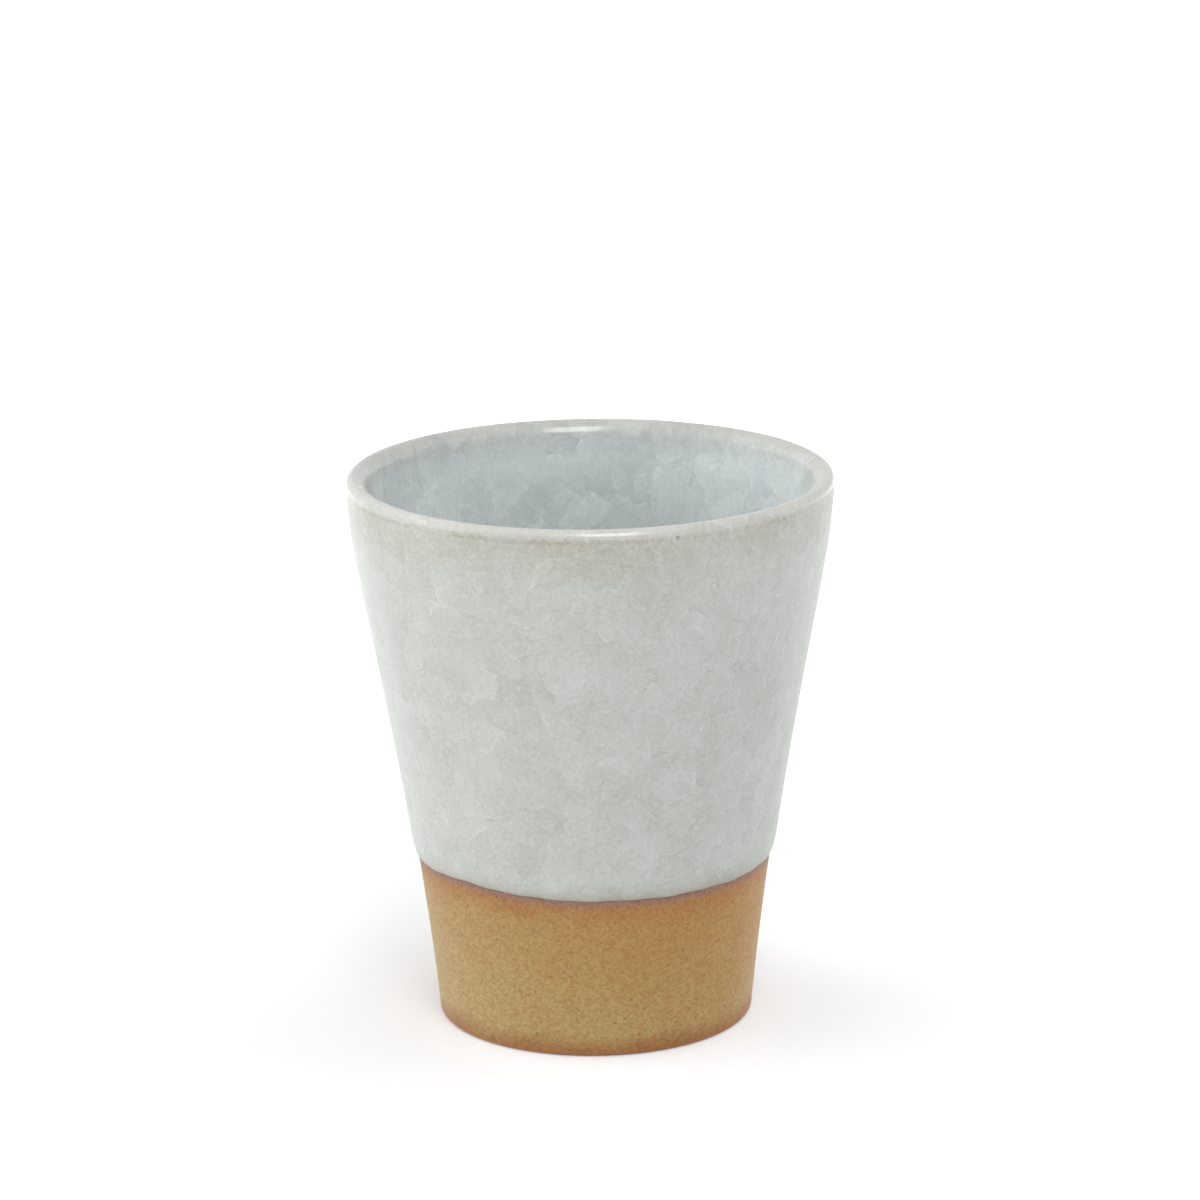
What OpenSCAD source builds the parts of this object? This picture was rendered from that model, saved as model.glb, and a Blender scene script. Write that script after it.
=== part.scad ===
// Tapered stoneware tea cup without a handle.
// A clay body carries two coats of glaze: one dipped over the outside down to the
// glaze line, and one poured over the inside. They meet on the crest of the lip.
// Millimetres, +Z up, origin on the table under the middle of the foot.

/* [Cup] */
// Height of the finished cup, from the table to the crest of the lip
cup_height = 92; // [80:0.5:110]
// Diameter over the glaze at the lip
rim_diameter = 80; // [72:0.5:92]
// Diameter of the clay wall where it would reach the table
foot_diameter = 52; // [46:0.5:60]

/* [Wall] */
// Lean of the clay wall from upright where it leaves the foot, in degrees
foot_lean = 5.4; // [3:0.1:8]
// Length of wall over which the foot's lean is held before the wall flares
foot_rise = 44; // [35:1:55]
// Lean of the clay wall from upright just under the lip, in degrees
rim_lean = 2.5; // [1:0.5:6]
// Length of wall over which it straightens up to the lip
rim_rise = 12; // [8:1:25]
// Radius of the lip's outer half, over the glaze
lip_outer_round = 1.2; // [0.8:0.1:2]
// Radius of the lip's inner half, over the glaze
lip_inner_round = 2.5; // [1.2:0.1:3.5]
// Thickness of the clay wall at the level of the floor
base_wall = 4; // [2.6:0.1:6]

/* [Floor and foot] */
// Thickness of the clay floor above the turned recess
floor_thickness = 4.6; // [3:0.1:8]
// Radius where the inside wall runs into the floor
floor_radius = 10; // [5:0.5:14]
// Width of the ring that the cup stands on
foot_ring_width = 5.5; // [4:0.1:9]
// Depth of the recess turned under the foot
foot_recess = 1.8; // [1:0.1:3]
// Radius of the outer edge of the foot
foot_edge = 1; // [0.5:0.1:2]

/* [Glaze] */
// Height of the glaze line above the table
glaze_line = 28; // [18:0.2:40]
// Thickness of the dipped coat on the outside wall
dipped_thickness = 0.6; // [0.3:0.05:1]
// Height over which the dipped coat rolls off to nothing at the glaze line
glaze_roll = 3.8; // [1:0.1:6]
// Thickness of the poured coat on the inside wall
poured_thickness = 0.5; // [0.3:0.05:1]
// Thickness of the poured coat where it pools on the floor
pool_thickness = 1; // [0.5:0.05:1.6]
// Thickness of either coat where it runs thin over the lip
lip_thickness = 0.3; // [0.15:0.05:0.5]
// Height below the lip over which a coat thickens to its full wall thickness
thin_height = 9; // [4:0.5:16]

/* [Hidden] */
$fn = 120;

clay_colour = "#B7935C";
outside_colour = "#C3C8C2";
inside_colour = "#B6C0BF";

// Segments along each stretch of the profile
arc_steps = 10;
bare_steps = 8;
wall_steps = 24;
// Halvings that find a height on the wall curve, and the step that measures the inside's lean
halvings = 40;
lean_step = 0.5;

function mix(a, b, share) = a + (b - a) * share;
function clamped(x) = min(1, max(0, x));
function ease(x) = let (u = clamped(x)) u * u * (3 - 2 * u);
function reversed(list) = [for (i = [len(list) - 1:-1:0]) list[i]];
function after_first(list) = [for (i = [1:len(list) - 1]) list[i]];
function between(from, to, steps) = [for (i = [1:steps - 1]) mix(from, to, i / steps)];

// A spot on the clay is its point and the direction square to the surface there
function spot(point, angle) = [point, [cos(angle), sin(angle)]];
function points(spots) = [for (s = spots) s[0]];
function coated(spots, thickness) = [for (s = spots) s[0] + thickness(s[0][1]) * s[1]];

// Spots round an arc; a hollow arc faces its own centre
function arc(centre, radius, from, to, hollow = false) = [
    for (i = [0:arc_steps])
        let (a = mix(from, to, i / arc_steps))
        spot(centre + radius * [cos(a), sin(a)], hollow ? a + 180 : a)
];

// The lip is two quarter rounds that meet at the crest of the clay, the inner one broader
clay_crest = [rim_diameter / 2 - lip_outer_round, cup_height - lip_thickness];
outer_round = lip_outer_round - lip_thickness;
inner_round = lip_inner_round - lip_thickness;
outer_centre = clay_crest - [0, outer_round];
inner_centre = clay_crest - [0, inner_round];

// The outside of the clay wall is one cubic curve, from the table to the lip's round
wall_foot = [foot_diameter / 2, 0];
wall_top = outer_centre + outer_round * [cos(rim_lean), -sin(rim_lean)];
foot_handle = wall_foot + foot_rise * [sin(foot_lean), cos(foot_lean)];
rim_handle = wall_top - rim_rise * [sin(rim_lean), cos(rim_lean)];

function wall_point(t) =
    pow(1 - t, 3) * wall_foot
    + 3 * t * pow(1 - t, 2) * foot_handle
    + 3 * t * t * (1 - t) * rim_handle
    + pow(t, 3) * wall_top;

function wall_run(t) =
    pow(1 - t, 2) * (foot_handle - wall_foot)
    + 2 * t * (1 - t) * (rim_handle - foot_handle)
    + t * t * (wall_top - rim_handle);

function wall_place(z, low = 0, high = 1, left = halvings) =
    let (middle = (low + high) / 2)
    left == 0 ? middle
    : wall_point(middle)[1] < z ? wall_place(z, middle, high, left - 1)
    : wall_place(z, low, middle, left - 1);

function wall_radius(z) = wall_point(wall_place(z))[0];
function wall_lean(z) = let (run = wall_run(wall_place(z))) atan2(run[0], run[1]);
function wall_spots(levels) = [for (z = levels) spot([wall_radius(z), z], -wall_lean(z))];

// The inside wall lies one thickness in from the outside, tapering from the floor to the lip's inner round
floor_level = foot_recess + floor_thickness;
rim_level = inner_centre[1];
rim_wall = (wall_radius(rim_level) - clay_crest[0] + inner_round) * cos(wall_lean(rim_level));
function clay_thickness(z) =
    mix(base_wall, rim_wall, clamped((z - floor_level) / (rim_level - floor_level)));
function inside_radius(z) = wall_radius(z) - clay_thickness(z) / cos(wall_lean(z));
function inside_lean(z) = atan((inside_radius(z) - inside_radius(z - lean_step)) / lean_step);
function inside_spots(levels) = [for (z = levels) spot([inside_radius(z), z], 180 - inside_lean(z))];

// The round between the inside wall and the floor, tangent to both
round_lean = inside_lean(floor_level + floor_radius);
round_top = floor_level + floor_radius * (1 - sin(round_lean));
round_centre = [inside_radius(round_top) - floor_radius * cos(round_lean), floor_level + floor_radius];

// The lip's inner end, where the inside wall starts down
lip_inner_lean = inside_lean(rim_level);
lip_inner_level = rim_level + inner_round * sin(lip_inner_lean);

// The foot: an outer edge round that meets the wall, and an ogee of two equal rounds into the recess
edge_top = foot_edge * (1 - sin(foot_lean));
edge_centre = [wall_radius(edge_top) - foot_edge * cos(foot_lean), foot_edge];
ogee_round = foot_recess / 2;
ring_inner = foot_diameter / 2 - foot_ring_width;

// Levels on the wall under the dipped coat, closest together where the coat rolls off
roll_top = glaze_line + glaze_roll;
roll_levels = [for (i = [0:arc_steps]) roll_top - glaze_roll * cos(90 * i / arc_steps)];

// The clay's surface in three stretches: bare, under the dipped coat and under the poured coat
bare = concat(
    [spot([0, foot_recess], -90)],
    arc([ring_inner - ogee_round, ogee_round], ogee_round, 90, 0, hollow = true),
    after_first(arc([ring_inner + ogee_round, ogee_round], ogee_round, 180, 270)),
    arc(edge_centre, foot_edge, -90, -foot_lean),
    wall_spots(between(edge_top, glaze_line, bare_steps))
);
dipped = concat(
    wall_spots(roll_levels),
    wall_spots(between(roll_top, wall_top[1], wall_steps)),
    arc(outer_centre, outer_round, -rim_lean, 90)
);
poured = concat(
    arc(inner_centre, inner_round, 90, 180 - lip_inner_lean),
    inside_spots(between(lip_inner_level, round_top, wall_steps)),
    arc(round_centre, floor_radius, -round_lean, -90, hollow = true),
    [spot([0, floor_level], 90)]
);

// Thickness of a coat at a height: thin at the lip, rolled off at the glaze line, pooled on the floor
thin_level = min(outer_centre[1], rim_level);
function below_lip(full, z) = mix(lip_thickness, full, ease((thin_level - z) / thin_height));
dipped_coat = function (z)
    let (u = 1 - clamped((z - glaze_line) / glaze_roll))
    below_lip(dipped_thickness, z) * sqrt(1 - u * u);
poured_coat = function (z)
    let (pooled = 1 - ease((z - floor_level) / (round_top - floor_level)))
    mix(below_lip(poured_thickness, z), pool_thickness, pooled);

// Fired stoneware, with its turned foot, tapered wall and rounded lip
module clay_body() {
    color(clay_colour)
        rotate_extrude()
            polygon(concat(points(bare), points(dipped), after_first(points(poured))));
}

// Coat dipped over the outside, from its rolled edge at the glaze line to the crest of the lip
module outer_glaze() {
    color(outside_colour)
        rotate_extrude()
            polygon(concat(points(dipped), reversed(after_first(coated(dipped, dipped_coat)))));
}

// Coat poured over the inside, from the crest of the lip to the pool on the floor
module inner_glaze() {
    color(inside_colour)
        rotate_extrude()
            polygon(concat(points(poured), reversed(coated(poured, poured_coat))));
}

clay_body();
outer_glaze();
inner_glaze();
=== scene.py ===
"""Stoneware tea cup: the looks of its clay body and of its two coats of glaze.

Every piece is turned about +Z. Each is lofted from the half section of the solid that it
replaces, with the unevenness that a turning tool, a dip and a pour leave on it.
"""

import logging
import math
from dataclasses import dataclass
from enum import Enum

import bmesh
import bpy
import numpy as np
from mathutils import Matrix, Vector, noise


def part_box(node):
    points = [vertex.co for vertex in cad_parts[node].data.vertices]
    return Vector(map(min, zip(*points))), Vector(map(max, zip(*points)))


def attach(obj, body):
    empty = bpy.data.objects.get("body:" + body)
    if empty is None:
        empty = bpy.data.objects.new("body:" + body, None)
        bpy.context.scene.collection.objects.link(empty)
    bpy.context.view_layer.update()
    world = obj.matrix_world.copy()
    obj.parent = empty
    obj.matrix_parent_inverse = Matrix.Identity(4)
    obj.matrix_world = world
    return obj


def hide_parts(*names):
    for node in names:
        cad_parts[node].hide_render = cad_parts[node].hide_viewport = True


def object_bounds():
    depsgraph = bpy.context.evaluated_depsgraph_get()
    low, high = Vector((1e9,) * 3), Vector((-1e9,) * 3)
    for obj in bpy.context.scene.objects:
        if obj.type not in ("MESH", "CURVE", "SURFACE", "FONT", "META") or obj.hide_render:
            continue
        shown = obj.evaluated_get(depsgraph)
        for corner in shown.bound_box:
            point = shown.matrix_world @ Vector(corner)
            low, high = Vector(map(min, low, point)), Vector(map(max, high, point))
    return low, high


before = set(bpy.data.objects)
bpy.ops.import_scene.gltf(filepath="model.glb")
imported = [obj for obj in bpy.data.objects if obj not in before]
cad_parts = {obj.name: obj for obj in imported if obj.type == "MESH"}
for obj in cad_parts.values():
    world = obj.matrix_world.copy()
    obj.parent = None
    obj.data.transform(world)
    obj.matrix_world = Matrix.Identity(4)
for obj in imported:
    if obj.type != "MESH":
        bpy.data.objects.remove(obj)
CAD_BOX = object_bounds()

LOG = logging.getLogger("tea_cup")
BODY = "root"
MM = 0.001
# Points round each ring, and the small hole at the axis that a fan of triangles closes
AROUND = 288
AXIS_GAP = 0.3 * MM
SHARP_DEG = 40
WHITE = (1.0, 1.0, 1.0, 1.0)
# A noise texture runs from 0 to 1: the middle of its colour, and the span that it mostly keeps to
MIDDLE = (0.5, 0.5, 0.5)
MOST_NOISE = (0.2, 0.8)

Tree = bpy.types.NodeTree
Socket = bpy.types.NodeSocket
Span = tuple[float, float]
Triple = tuple[float, float, float]
Colour = tuple[float, float, float, float]


class Slot(Enum):
    """Material slots of the record."""

    BARE_CLAY = "bare_stoneware"
    OUTSIDE_GLAZE = "outside_glaze"
    INSIDE_GLAZE = "inside_glaze"


class Mark(Enum):
    """Measures in millimetres that a mesh carries for its finish."""

    BELOW_LINE = "below_line_mm"
    COAT = "coat_mm"
    FROM_CREST = "from_crest_mm"


class Side(Enum):
    """Sides of the light tent, as directions along x."""

    LEFT = -1
    RIGHT = 1


class Blend(Enum):
    """How a speck fades at its outline."""

    STRAIGHT = "LINEAR"
    EASED = "SMOOTHSTEP"


def linear(code: str) -> Colour:
    """Turns an sRGB hex colour into a linear one.

    Args:
        code: colour such as "#C0A070".

    Returns:
        Linear red, green, blue and an alpha of 1.
    """
    parts = [int(code[i:i + 2], 16) / 255 for i in (1, 3, 5)]
    red, green, blue = [p / 12.92 if p <= 0.04045 else ((p + 0.055) / 1.055) ** 2.4 for p in parts]
    return red, green, blue, 1.0


def add(tree: Tree, kind: str, inputs: dict[str | int, object] | None = None,
        **settings: object) -> bpy.types.Node:
    """Adds a node with its settings, values and links.

    A Mix of colours takes its share at input 0 and its colours at 6 and 7, and gives output 2.

    Args:
        tree: tree that the node goes into.
        kind: node type, without its leading ShaderNode.
        inputs: for an input's name or number, its value or the socket to link from.
        settings: properties of the node.

    Returns:
        The new node.
    """
    node = tree.nodes.new("ShaderNode" + kind)
    for name, value in settings.items():
        setattr(node, name, value)
    for key, value in (inputs or {}).items():
        if isinstance(value, Socket):
            tree.links.new(value, node.inputs[key])
        else:
            node.inputs[key].default_value = value
    return node


def empty_material(title: str) -> bpy.types.Material:
    """Makes a material whose tree is still empty.

    Args:
        title: name of the material.

    Returns:
        The new material.
    """
    material = bpy.data.materials.new(title)
    material.use_nodes = True
    material.node_tree.nodes.clear()
    return material


def place_mm(tree: Tree) -> Socket:
    """Adds the place on the piece.

    Args:
        tree: material's tree.

    Returns:
        Socket with the place, in millimetres.
    """
    held = add(tree, "TexCoord").outputs["Object"]
    return add(tree, "VectorMath", {0: held, "Scale": 1 / MM}, operation="SCALE").outputs[0]


def half_section(node: str) -> np.ndarray:
    """Reads the half section of a turned CAD node from the rings of its mesh.

    Args:
        node: name of the CAD node.

    Returns:
        Radius and height of each ring, in metres, in the order that the surface runs. An open
        section starts at its lower end, and a closed one at its lowest ring, outwards.
    """
    ring_gap = 0.01 * MM
    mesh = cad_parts[node].data
    places = np.empty(len(mesh.vertices) * 3, np.float32)
    mesh.vertices.foreach_get("co", places)
    x, y, z = places.reshape(-1, 3).astype(float).T
    rings = np.column_stack((np.hypot(x, y), z))
    cells, cell_of = np.unique(np.round(rings / ring_gap), axis=0, return_inverse=True)
    # Points of one ring may round to cells side by side, so each cell joins the first one beside it
    first_near = (np.abs(cells[:, None] - cells).max(axis=2) <= 1).argmax(axis=1)
    names, ring_of, count = np.unique(
        first_near[cell_of.ravel()], return_inverse=True, return_counts=True)
    sections = np.column_stack([np.bincount(ring_of, part) / count for part in rings.T])

    ends = np.empty(len(mesh.edges) * 2, np.int32)
    mesh.edges.foreach_get("vertices", ends)
    beside = {k: set() for k in range(len(names))}
    for a, b in np.unique(ring_of[ends.reshape(-1, 2)], axis=0).tolist():
        if a != b:
            beside[a].add(b)
            beside[b].add(a)
    starts = [k for k in beside if len(beside[k]) == 1] or list(beside)
    path = [min(starts, key=lambda k: sections[k][1])]
    while onward := beside[path[-1]] - set(path):
        path.append(max(onward, key=lambda k: sections[k][0]))
    return sections[path]


def smooth_run(points: np.ndarray, longest_mm: float, first: Span | None = None,
               last: Span | None = None) -> np.ndarray:
    """Draws a smooth curve through the points of a section.

    Args:
        points: radius and height of each point, in metres.
        longest_mm: longest step along the new curve.
        first: direction that the curve starts in, or None for that of its first step.
        last: direction that the curve ends in, or None for that of its last step.

    Returns:
        Points of the curve, the given ones among them.
    """
    steps = np.diff(points, axis=0)
    lengths = np.linalg.norm(steps, axis=1)
    runs = np.vstack((first or steps[0], points[2:] - points[:-2], last or steps[-1]))
    runs /= np.linalg.norm(runs, axis=1)[:, None]
    made = []
    for i, length in enumerate(lengths):
        count = math.ceil(length / (longest_mm * MM))
        t = np.arange(count)[:, None] / count
        made.append(
            (2 * t**3 - 3 * t**2 + 1) * points[i] + (3 * t**2 - 2 * t**3) * points[i + 1]
            + length * ((t**3 - 2 * t**2 + t) * runs[i] + (t**3 - t**2) * runs[i + 1]))
    return np.vstack((*made, points[-1:]))


def section_normals(points: np.ndarray) -> np.ndarray:
    """Finds the directions square to a section.

    Args:
        points: radius and height of each point, in the order that the surface runs.

    Returns:
        A unit direction for each point, to the side that is outside for that order.
    """
    runs = np.gradient(points, axis=0)
    square = np.column_stack((runs[:, 1], -runs[:, 0]))
    return square / np.linalg.norm(square, axis=1)[:, None]


def ring_angles() -> np.ndarray:
    """Angles of the points round a ring, from +X."""
    return np.arange(AROUND) * (2 * math.pi / AROUND)


def spin(section: np.ndarray) -> np.ndarray:
    """Turns a section about +Z.

    Args:
        section: radius and height, as an array of rings by 2 or of rings by AROUND by 2.

    Returns:
        Places, as an array of rings by AROUND by 3.
    """
    angles = ring_angles()
    at_angles = section if section.ndim == 3 else section[:, None, :]
    full = np.broadcast_to(at_angles, (len(section), AROUND, 2))
    radius, height = full[..., 0], full[..., 1]
    return np.stack((radius * np.cos(angles), radius * np.sin(angles), height), axis=-1)


def unevenness(places: np.ndarray, width_mm: float, seed: float) -> np.ndarray:
    """Draws smooth noise at places.

    Args:
        places: places in metres, with x, y and z along the last axis.
        width_mm: width of the noise's bumps.
        seed: number that sets which stretch of the noise is drawn.

    Returns:
        A value between about -1 and 1 for each place.
    """
    shift = Vector((seed, -seed, 2 * seed))
    flat = places.reshape(-1, 3) / (width_mm * MM)
    return np.array([noise.noise(Vector(p) + shift) for p in flat.tolist()]).reshape(places.shape[:-1])


def ease(x: np.ndarray) -> np.ndarray:
    """Eases from 0 to 1 as x goes from 0 to 1."""
    u = np.clip(x, 0, 1)
    return u * u * (3 - 2 * u)


def loft(name: str, rings: np.ndarray, closed: bool, marks: dict[Mark, np.ndarray]) -> bpy.types.Object:
    """Joins rings of points into one closed mesh.

    Args:
        name: name of the piece.
        rings: places, as an array of rings by AROUND by 3.
        closed: True to join the last ring to the first, False to close both ends at the axis.
        marks: a measure for each place, by the mark that it is kept under.

    Returns:
        The new object, in the scene.
    """
    count = len(rings)
    grid = np.arange(count * AROUND).reshape(count, AROUND)
    low, high = (grid, np.roll(grid, -1, axis=0)) if closed else (grid[:-1], grid[1:])
    quads = np.stack((low, np.roll(low, -1, axis=1), np.roll(high, -1, axis=1), high), axis=-1)
    faces = quads.reshape(-1, 4).tolist()
    places = rings.reshape(-1, 3).tolist()
    values = {mark: value.ravel().tolist() for mark, value in marks.items()}
    if not closed:
        for end in (0, -1):
            pole = len(places)
            places.append(rings[end].mean(axis=0).tolist())
            faces += [[pole, a, b] for a, b in zip(grid[end].tolist(), np.roll(grid[end], -1).tolist())]
            for mark, value in marks.items():
                values[mark].append(float(value[end].mean()))
    mesh = bpy.data.meshes.new(name)
    mesh.from_pydata(places, [], faces)
    for mark, value in values.items():
        mesh.attributes.new(mark.value, "FLOAT", "POINT").data.foreach_set("value", value)
    made = bmesh.new()
    made.from_mesh(mesh)
    bmesh.ops.recalc_face_normals(made, faces=made.faces)
    made.to_mesh(mesh)
    made.free()
    mesh.shade_smooth()
    mesh.set_sharp_from_angle(angle=math.radians(SHARP_DEG))
    piece = bpy.data.objects.new(name, mesh)
    bpy.context.scene.collection.objects.link(piece)
    return piece


@dataclass(frozen=True)
class FlakeLayer:
    """One depth of an ice crackle: curved flakes of one size, each with a painted lit side and a painted
    shaded side, as if it were a tilted plate.

    Tone, tilt shade and edge are shares of the way from the glaze's shade to its light: how far flakes
    differ from each other at random, how far painted shade runs across each from side to side, and how
    far a painted highlight on one side of its edge stands out.
    """

    width_mm: float
    tone: float
    painted_tilt_shade: float
    edge: float
    edge_mm: float
    # Sets which stretch of the pattern this layer shows, so that no two layers line up
    depth_mm: float
    # Width of the noise that breaks the edges, as a share of a flake's; they fade in over this span of it
    gap_share: float = 0.5
    gap_span: Span = (0.48, 0.62)
    # Share of a flake's width over which its edge turns from painted shade to a painted highlight, and how
    # dark the painted shade gets
    turn_share: float = 0.2
    painted_edge_shade: float = -0.7

    def draw(self, tree: Tree, place: Socket) -> Socket:
        """Adds the nodes of this layer.

        Args:
            tree: material's tree.
            place: place on the piece, in millimetres.

        Returns:
            Socket with the layer's share of the glaze's tone, about 0.
        """
        shift = (self.depth_mm, 2 * self.depth_mm, -self.depth_mm)
        shifted = add(tree, "VectorMath", {0: place, 1: shift}).outputs[0]
        cell_inputs = {"Vector": shifted, "Scale": 1 / self.width_mm}
        cells = add(tree, "TexVoronoi", cell_inputs)
        border = add(tree, "TexVoronoi", cell_inputs, feature="DISTANCE_TO_EDGE")
        pick = add(tree, "SeparateColor", {0: cells.outputs["Color"]})
        toned = add(tree, "MapRange", {
            "Value": pick.outputs[0], "To Min": -self.tone / 2, "To Max": self.tone / 2})

        heading = add(tree, "VectorMath", {0: cells.outputs["Color"], 1: MIDDLE}, operation="SUBTRACT")
        across = add(tree, "VectorMath", {
            0: shifted, 1: cells.outputs["Position"]}, operation="SUBTRACT")
        along = add(tree, "VectorMath", {
            0: across.outputs[0], 1: heading.outputs[0]}, operation="DOT_PRODUCT")
        # Painted shade that runs across the flake, lighter on one side, as if it were tilted to the light
        tilt_shaded = add(tree, "Math", {
            0: along.outputs["Value"], 1: self.painted_tilt_shade / self.width_mm, 2: toned.outputs[0]},
            operation="MULTIPLY_ADD")

        # Painted highlight along the flake's edge on its lit side, and painted shade on its other side
        edge = add(tree, "MapRange", {
            "Value": border.outputs["Distance"], "From Max": self.edge_mm / self.width_mm,
            "To Min": self.edge, "To Max": 0.0}, interpolation_type="SMOOTHSTEP")
        gaps = add(tree, "TexNoise", {
            "Vector": shifted, "Scale": 1 / (self.gap_share * self.width_mm), "Detail": 3.0})
        broken = add(tree, "MapRange", {
            "Value": gaps.outputs[0], "From Min": self.gap_span[0], "From Max": self.gap_span[1]})
        shown = add(tree, "Math", {0: edge.outputs[0], 1: broken.outputs[0]}, operation="MULTIPLY")
        turn_mm = self.turn_share * self.width_mm
        side = add(tree, "MapRange", {
            "Value": along.outputs["Value"], "From Min": -turn_mm, "From Max": turn_mm,
            "To Min": self.painted_edge_shade, "To Max": 1.0})
        return add(tree, "Math", {
            0: shown.outputs[0], 1: side.outputs[0], 2: tilt_shaded.outputs[0]},
            operation="MULTIPLY_ADD").outputs[0]


@dataclass(frozen=True)
class IronSpecks:
    """Specks that iron burns out of clay or glaze, at most one to each cell of a pattern.

    Cells are numbered at random from 0 to 1, and the specks grow over the chosen span of them.
    Size and blur are shares of a cell.
    """

    cell_mm: float
    chosen: Span
    size: float
    blur: Span
    strength: float
    blend: Blend

    def draw(self, tree: Tree, place: Socket) -> Socket:
        """Adds the nodes of the specks.

        Args:
            tree: material's tree.
            place: place on the piece, in millimetres.

        Returns:
            Socket with the share of the iron's colour.
        """
        dots = add(tree, "TexVoronoi", {"Vector": place, "Scale": 1 / self.cell_mm})
        number = add(tree, "SeparateColor", {0: dots.outputs["Color"]})
        size = add(tree, "MapRange", {
            "Value": number.outputs[0], "From Min": self.chosen[0], "From Max": self.chosen[1],
            "To Max": self.size})
        within = add(tree, "Math", {
            0: size.outputs[0], 1: dots.outputs["Distance"]}, operation="SUBTRACT")
        return add(tree, "MapRange", {
            "Value": within.outputs[0], "From Min": self.blur[0], "From Max": self.blur[1],
            "To Max": self.strength}, interpolation_type=self.blend.value).outputs[0]


@dataclass(frozen=True)
class CrackleGlaze:
    """Feldspar glaze on stoneware, fired and cooled so that it crackled in layers.

    The layers of flakes give it depth. Where the coat is thin, the clay below warms it, and
    below the lip iron from the clay stains it along a broken line.
    """

    title: str
    # Darkest and lightest colour of the coat, and of the lip, where the coat is worn
    shade: str
    light: str
    lip_shade: str
    lip_light: str
    lip_mm: float
    # How far noise bends the flakes: in slow curls, and in splinters along their edges
    flakes: tuple[FlakeLayer, ...]
    curl_mm: float
    splinter_mm: float
    # Strength of the bubbles and of the iron line
    grain: float
    iron_line: float
    # Fired glazes run from 0.1, glossy, to 0.4, satin
    roughness: float
    curl_width_mm: float = 7.0
    splinter_width_mm: float = 1.6
    # Bubbles of about 0.1 mm would be too fine to show, so they are drawn coarser
    bubble_mm: float = 0.6
    cloud_mm: float = 16.0
    cloud: float = 0.1
    # Clay that shows through where the coat is thinner than thin_mm, away from the lip
    thin: str = "#99927C"
    thin_mm: float = 0.6
    thin_from_mm: Span = (10.0, 20.0)
    # Noise that frays the edge of the worn lip, and the shares of lip_mm over which it ends
    fray_mm: float = 2.0
    lip_fade: Span = (0.6, 1.6)
    # Iron, by distance from the crest: where its line starts and stops, and a haze further down
    iron: str = "#8C8268"
    line_starts_mm: Span = (1.2, 2.7)
    line_stops_mm: Span = (2.4, 4.0)
    haze: float = 0.62
    haze_mm: Span = (3.0, 13.0)
    # The line is made of crumbs, stronger in some stretches; the spans are of the noise that draws them
    crumb_mm: float = 0.9
    crumb_span: Span = (0.35, 0.65)
    crumb_least: float = 0.25
    stretch_mm: float = 12.0
    stretch_span: Span = (0.38, 0.6)
    stretch_at_mm: float = 40.0
    stretch_least: float = 0.55
    # A few specks, most of them near the lip
    specks: IronSpecks = IronSpecks(
        cell_mm=2.5, chosen=(0.75, 1.0), size=0.16, blur=(0.0, 0.08), strength=0.8, blend=Blend.STRAIGHT)
    speck_near_mm: Span = (2.0, 6.0)
    speck_far: float = 0.1
    # The one larger speck, a burnt-out pit on the front of the lip
    pit_at_mm: Triple = (13.6, -37.6, 90.3)
    pit_mm: Span = (0.15, 0.45)
    pit_strength: float = 1.6
    # Glazes have an index of 1.5 to 1.7
    ior: float = 1.65
    lip_roughness: float = 0.2
    lip_polish_mm: Span = (1.2, 3.5)
    # The skin's slow ripple, which breaks up highlights
    ripple_mm: float = 2.2
    ripple_depth_mm: float = 0.03
    ripple_strength: float = 0.25

    def material(self) -> bpy.types.Material:
        """Builds the finish.

        Returns:
            The new material.
        """
        material = empty_material(self.title)
        tree = material.node_tree
        place = place_mm(tree)
        crest = add(tree, "Attribute", attribute_name=Mark.FROM_CREST.value).outputs["Fac"]
        stained = add(tree, "Mix", {
            0: self.iron_share(tree, place, crest), 6: self.coat_colour(tree, place, crest),
            7: linear(self.iron)}, data_type="RGBA")
        rough = add(tree, "MapRange", {
            "Value": crest, "From Min": self.lip_polish_mm[0], "From Max": self.lip_polish_mm[1],
            "To Min": self.lip_roughness, "To Max": self.roughness}, interpolation_type="SMOOTHSTEP")
        ripple = add(tree, "TexNoise", {"Vector": place, "Scale": 1 / self.ripple_mm, "Detail": 2.0})
        bump = add(tree, "Bump", {
            "Strength": self.ripple_strength, "Distance": self.ripple_depth_mm * MM,
            "Height": ripple.outputs[0]})
        shader = add(tree, "BsdfPrincipled", {
            "Base Color": stained.outputs[2], "Roughness": rough.outputs[0], "IOR": self.ior,
            "Normal": bump.outputs[0]})
        add(tree, "OutputMaterial", {"Surface": shader.outputs[0]})
        return material

    def coat_colour(self, tree: Tree, place: Socket, crest: Socket) -> Socket:
        """Adds the colour of the crackle, warmed where the coat is thin and worn on the lip.

        Args:
            tree: material's tree.
            place: place on the piece, in millimetres.
            crest: distance from the crest of the lip, in millimetres.

        Returns:
            Socket with the colour.
        """
        tone = self.tone(tree, place)
        body = add(tree, "Mix", {
            0: tone, 6: linear(self.shade), 7: linear(self.light)}, data_type="RGBA")
        coat = add(tree, "Attribute", attribute_name=Mark.COAT.value)
        away = add(tree, "MapRange", {
            "Value": crest, "From Min": self.thin_from_mm[0], "From Max": self.thin_from_mm[1]})
        thin = add(tree, "MapRange", {
            "Value": coat.outputs["Fac"], "From Max": self.thin_mm,
            "To Min": away.outputs[0], "To Max": 0.0})
        warmed = add(tree, "Mix", {
            0: thin.outputs[0], 6: body.outputs[2], 7: linear(self.thin)}, data_type="RGBA")

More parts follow.
